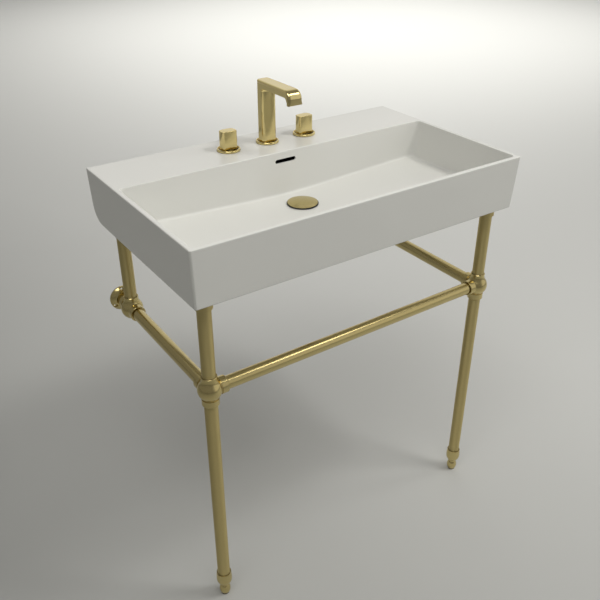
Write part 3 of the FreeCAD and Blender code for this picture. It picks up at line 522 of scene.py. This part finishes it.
def openTube(sides, radius, depth, wall):
    bpy.ops.object.select_all(action="DESELECT")
    bpy.ops.mesh.primitive_cylinder_add(vertices=sides, radius=radius, depth=depth, end_fill_type="NOTHING")
    made = bpy.context.object
    applyModifier(made, "SOLIDIFY", {"thickness": wall, "offset": -1, "use_even_offset": True})
    return made


def roundRims(piece, width, segments):
    applyModifier(piece, "BEVEL", {
        "width": width, "segments": segments, "limit_method": "ANGLE", "angle_limit": modelling["rimAngle"]})


# a copy of a CAD node's mesh with its loose triangles merged
def mergedCopy(node):
    copied = bpy.data.objects.new(node + "Copy", cadNodes[node].data.copy())
    bpy.context.scene.collection.objects.link(copied)
    hold(copied)
    bpy.ops.mesh.customdata_custom_splitnormals_clear()
    bpy.ops.object.mode_set(mode="EDIT")
    bpy.ops.mesh.select_all(action="SELECT")
    bpy.ops.mesh.remove_doubles(threshold=modelling["mergeDistance"])
    bpy.ops.object.mode_set(mode="OBJECT")
    return copied


# cuts the whole mesh at places along one axis, given as shares of its half size
def sliceAcross(piece, axis, middle, halfSize, cuts):
    normal = [0, 0, 0]
    normal[axis] = 1
    hold(piece)
    bpy.ops.object.mode_set(mode="EDIT")
    for share in cuts:
        spot = list(middle)
        spot[axis] += share * halfSize
        bpy.ops.mesh.select_all(action="SELECT")
        bpy.ops.mesh.bisect(plane_co=spot, plane_no=normal)
    bpy.ops.object.mode_set(mode="OBJECT")


# large faces keep their flat shading beside their small rounded edges
def flattenShading(piece):
    applyModifier(piece, "WEIGHTED_NORMAL", {"mode": "FACE_AREA", "weight": 100, "keep_sharp": True})


# Basin with draft: its sides and front lean in a little towards the underside
draft = {
    "lean": 0.0045,
    "skin": 0.0065,
}


def makeBasin():
    low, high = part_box("basin")
    drop = high.z - glaze["underside"]
    basin = mergedCopy("basin")
    for vertex in basin.data.vertices:
        spot = vertex.co
        lean = draft["lean"] * (high.z - spot.z) / drop
        if abs(spot.x) > high.x - draft["skin"]:
            spot.x -= math.copysign(lean, spot.x)
        if spot.y < low.y + draft["skin"]:
            spot.y += lean
    fit(basin, "draftedBasin", "sink", finishes["fireclay"])
    flattenShading(basin)
    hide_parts("basin")


# Handles: cushions whose four sides swell in the middle
cushion = {
    "cornerPull": 0.11,
    "cuts": (-0.75, -0.5, -0.25, 0, 0.25, 0.5, 0.75),
}


def makeHandle(side):
    node = side + "_handle"
    low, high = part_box(node)
    middle = middleOf(node)
    half = (high - low) / 2
    handle = mergedCopy(node)
    for axis in (0, 1):
        sliceAcross(handle, axis, middle, half[axis], cushion["cuts"])
    for vertex in handle.data.vertices:
        across = (vertex.co.x - middle.x) / half.x
        along = (vertex.co.y - middle.y) / half.y
        scale = 1 - cushion["cornerPull"] * across ** 2 * along ** 2
        vertex.co.x = middle.x + across * half.x * scale
        vertex.co.y = middle.y + along * half.y * scale
    fit(handle, side + "CushionHandle", node, brassFinishes["tap"])
    flattenShading(handle)
    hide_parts(node)


# Spout: its column swells in the middle, in front and at the back
spout = {
    "swell": 0.003,
    "fade": 0.02,
    "cuts": (-0.8, -0.6, -0.4, -0.2, 0, 0.2, 0.4, 0.6, 0.8),
}


def makeSpout():
    low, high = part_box("spout_body")
    halfWidth = (high.x - low.x) / 2
    columnMiddle = middleOf("spout_flange").y
    halfDepth = high.y - columnMiddle
    columnFront = columnMiddle - halfDepth
    body = mergedCopy("spout_body")
    sliceAcross(body, 0, (0, 0, 0), halfWidth, spout["cuts"])
    for vertex in body.data.vertices:
        if vertex.co.y > columnFront:
            share = (columnMiddle - vertex.co.y) / halfDepth
        else:
            share = max(0, 1 - (columnFront - vertex.co.y) / spout["fade"])
        vertex.co.y += spout["swell"] * share * (vertex.co.x / halfWidth) ** 2
    fit(body, "swelledSpout", "sink", brassFinishes["tap"])
    flattenShading(body)
    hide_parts("spout_body")


# Post caps: short cups on the tops of the posts, seated on the rubber pads under the basin
cap = {
    "posts": ("left_front_post", "right_front_post", "left_rear_post", "right_rear_post"),
    "sides": 96,
    "radius": 0.0175,
    "height": 0.0205,
    "wall": 0.0034,
    "plate": 0.003,
    "rim": 0.0011,
    "rimSegments": 4,
}


def makePostCaps():
    bpy.ops.object.select_all(action="DESELECT")
    bpy.ops.mesh.primitive_cylinder_add(vertices=cap["sides"], radius=cap["radius"], depth=cap["height"])
    cup = bpy.context.object
    roundRims(cup, cap["rim"], cap["rimSegments"])
    bpy.ops.object.mode_set(mode="EDIT")
    bpy.ops.mesh.select_all(action="DESELECT")
    bpy.ops.object.mode_set(mode="OBJECT")
    underFace = min(cup.data.polygons, key=lambda face: face.center.z)
    underFace.select = True
    bpy.ops.object.mode_set(mode="EDIT")
    bpy.ops.mesh.inset(thickness=cap["wall"] - cap["rim"])
    bore = cap["height"] - cap["plate"]
    bpy.ops.mesh.extrude_region_move(TRANSFORM_OT_translate={"value": (0, 0, bore)})
    bpy.ops.object.mode_set(mode="OBJECT")
    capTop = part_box("post_caps")[1].z
    copies = []
    for post in cap["posts"]:
        middle = middleOf(post)
        copies.append(copyTo(cup, (middle.x, middle.y, capTop - cap["height"] / 2)))
    bpy.data.objects.remove(cup)
    caps = joinAll(copies)
    fit(caps, "shortPostCaps", "sink", brassFinishes["upright"])
    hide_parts("post_caps")


# Plug seal: a rubber ring with a soft lip that stands out from under the cap
seal = {
    "sides": 128,
    "radius": 0.0355,
    "wall": 0.0155,
    "depth": 0.0025,
    "lip": 0.0008,
    "lipSegments": 3,
}


def makeSeal():
    lipped = openTube(seal["sides"], seal["radius"], seal["depth"], seal["wall"])
    roundRims(lipped, seal["lip"], seal["lipSegments"])
    axis = middleOf("plug_cap")
    settle(lipped, (axis.x, axis.y, middleOf("plug_seal").z))
    fit(lipped, "plugSealRing", "drain_plug", finishes["rubber"])
    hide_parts("plug_seal")


# Grub screws with a hexagon socket; a seat is measured from the middle of its ball joint, on the right
grub = {
    "sides": 24,
    "radius": 0.002,
    "chamfer": 0.0003,
    "socketRadius": 0.00118,
    "socketDepth": 0.0014,
    "shortLength": 0.0024,
    "length": 0.004,
    "handleLength": 0.006,
    "facingBack": (math.radians(-90), 0, 0),
    "facingDown": (math.radians(180), 0, 0),
    "postSeat": Vector((0, 0.0164, 0.025)),
    "legSeat": Vector((0, 0.018, -0.028)),
    "frontRailSeat": Vector((-0.028, 0, -0.018)),
    "towardsFrontSeat": Vector((0, -0.028, -0.018)),
    "towardsBackSeat": Vector((0, 0.028, -0.018)),
}


# the outer end is at the origin and faces up
def grubScrew(length):
    bpy.ops.object.select_all(action="DESELECT")
    bpy.ops.mesh.primitive_cylinder_add(
        vertices=grub["sides"], radius=grub["radius"], depth=length, location=(0, 0, -length / 2))
    screw = bpy.context.object
    settle(screw, screw.location.copy())
    roundRims(screw, grub["chamfer"], 1)
    bpy.ops.mesh.primitive_cylinder_add(
        vertices=6, radius=grub["socketRadius"], depth=2 * grub["socketDepth"])
    key = bpy.context.object
    applyModifier(screw, "BOOLEAN", {"object": key, "operation": "DIFFERENCE", "solver": "EXACT"})
    bpy.data.objects.remove(key)
    return screw


def makeJointScrews():
    shortScrew = grubScrew(grub["shortLength"])
    screw = grubScrew(grub["length"])
    legX = middleOf("right_leg").x
    railZ = middleOf("front_rail").z
    frontJoint = Vector((legX, middleOf("front_rail").y, railZ))
    rearJoint = Vector((legX, middleOf("right_rear_post").y, railZ))
    rows = [
        (shortScrew, frontJoint + grub["postSeat"], grub["facingBack"]),
        (shortScrew, rearJoint + grub["postSeat"], grub["facingBack"]),
        (screw, frontJoint + grub["legSeat"], grub["facingBack"]),
        (screw, frontJoint + grub["frontRailSeat"], grub["facingDown"]),
        (screw, frontJoint + grub["towardsBackSeat"], grub["facingDown"]),
        (screw, rearJoint + grub["towardsFrontSeat"], grub["facingDown"]),
        (screw, rearJoint + grub["towardsBackSeat"], grub["facingDown"]),
    ]
    copies = []
    for model, spot, turn in rows:
        for side in (-1, 1):
            copies.append(copyTo(model, (side * spot.x, spot.y, spot.z), turn))
    jointScrews = joinAll(copies)
    fit(jointScrews, "jointGrubScrews", "sink", finishes["screw_steel"])
    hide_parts("joint_grub_screws")
    bpy.data.objects.remove(shortScrew)
    bpy.data.objects.remove(screw)


def makeHandleScrews():
    handleScrew = grubScrew(grub["handleLength"])
    for side in ("hot", "cold"):
        node = side + "_grub_screw"
        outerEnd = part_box(node)[1].y
        spot = (middleOf(side + "_handle").x, outerEnd, middleOf(node).z)
        sideScrew = copyTo(handleScrew, spot, grub["facingBack"])
        fit(sideScrew, side + "HandleGrubScrew", side + "_handle", finishes["screw_steel"])
        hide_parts(node)
    bpy.data.objects.remove(handleScrew)


# Flow straightener in the spout's mouth: a ring filled with hexagon cells
straightener = {
    "ringSides": 64,
    "radius": 0.0085,
    "depth": 0.002,
    "ringWall": 0.001,
    "ringBevel": 0.00015,
    "bevelSegments": 2,
    "cell": 0.001,
    "cellWall": 0.0002,
    "rows": 6,
}


def makeStraightener():
    depth = straightener["depth"]
    ring = openTube(straightener["ringSides"], straightener["radius"], depth, straightener["ringWall"])
    roundRims(ring, straightener["ringBevel"], straightener["bevelSegments"])
    cell = openTube(6, straightener["cell"], depth, straightener["cellWall"])
    across = math.sqrt(3) * straightener["cell"]
    reach = straightener["radius"] - straightener["ringWall"] / 2 - straightener["cell"]
    rows = straightener["rows"]
    copies = [ring]
    for row in range(-rows, rows + 1):
        for column in range(-rows, rows + 1):
            x = across * (column + 0.5 * (row % 2))
            y = 1.5 * straightener["cell"] * row
            if math.hypot(x, y) < reach:
                copies.append(copyTo(cell, (x, y, 0)))
    bpy.data.objects.remove(cell)
    insert = settle(joinAll(copies), middleOf("aerator_screen"))
    fit(insert, "flowStraightener", "sink", finishes["moulded_plastic"])
    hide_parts("aerator_screen")


# Thread ridges on the tubes under the basin, each on the axis of a round node
threads = {
    "drain": {"radius": 0.021, "crest": 0.0003, "pitch": 0.0023, "low": -0.1255, "high": -0.0848},
    "shank": {"radius": 0.013, "crest": 0.00024, "pitch": 0.0015, "low": 0.0174, "high": 0.0270},
    "inlet": {"radius": 0.01025, "crest": 0.00023, "pitch": 0.0018, "low": -0.0238, "high": -0.0092},
    "sunk": 0.0001,
    "steps": 40,
    "pieces": {
        "drainThread": ("drain", "drain_body"),
        "hotShankThread": ("shank", "hot_flange"),
        "coldShankThread": ("shank", "cold_flange"),
        "spoutShankThread": ("shank", "spout_flange"),
        "hotInletThread": ("inlet", "hot_flange"),
        "coldInletThread": ("inlet", "cold_flange"),
    },
}


# a triangle that points away from the axis is wound up it
def threadRidge(size):
    corner = size["pitch"] * 0.5
    flat = (size["crest"] + threads["sunk"]) / (1.5 * corner)
    bpy.ops.object.select_all(action="DESELECT")
    bpy.ops.mesh.primitive_circle_add(
        vertices=3, radius=corner, fill_type="NOTHING", scale=(1, flat, 1),
        location=(size["radius"] + size["crest"] - corner * flat, 0, size["low"] + corner))
    ridge = bpy.context.object
    outward = Matrix(((0, 1, 0), (0, 0, 1), (1, 0, 0))).to_euler()
    settle(ridge, ridge.location.copy(), outward)
    turns = int((size["high"] - size["low"]) / size["pitch"]) - 1
    applyModifier(ridge, "SCREW", {
        "axis": "Z", "screw_offset": size["pitch"], "iterations": turns,
        "steps": threads["steps"], "render_steps": threads["steps"]})
    bpy.ops.object.mode_set(mode="EDIT")
    bpy.ops.mesh.select_all(action="SELECT")
    bpy.ops.mesh.fill_holes(sides=3)
    bpy.ops.mesh.normals_make_consistent(inside=False)
    bpy.ops.object.mode_set(mode="OBJECT")
    return ridge


def makeThreads():
    models = {kind: threadRidge(threads[kind]) for kind in ("drain", "shank", "inlet")}
    for name, (kind, node) in threads["pieces"].items():
        axis = middleOf(node)
        ridge = copyTo(models[kind], (axis.x, axis.y, 0))
        fit(ridge, name, "sink", brassFinishes["upright"])
    for model in models.values():
        bpy.data.objects.remove(model)


makeBasin()
print("basin made")
makeHandle("hot")
makeHandle("cold")
makeSpout()
print("handles and spout made")
makePostCaps()
makeSeal()
print("post caps and plug seal made")
makeJointScrews()
makeHandleScrews()
print("grub screws made")
makeStraightener()
makeThreads()
print("flow straightener and threads made")
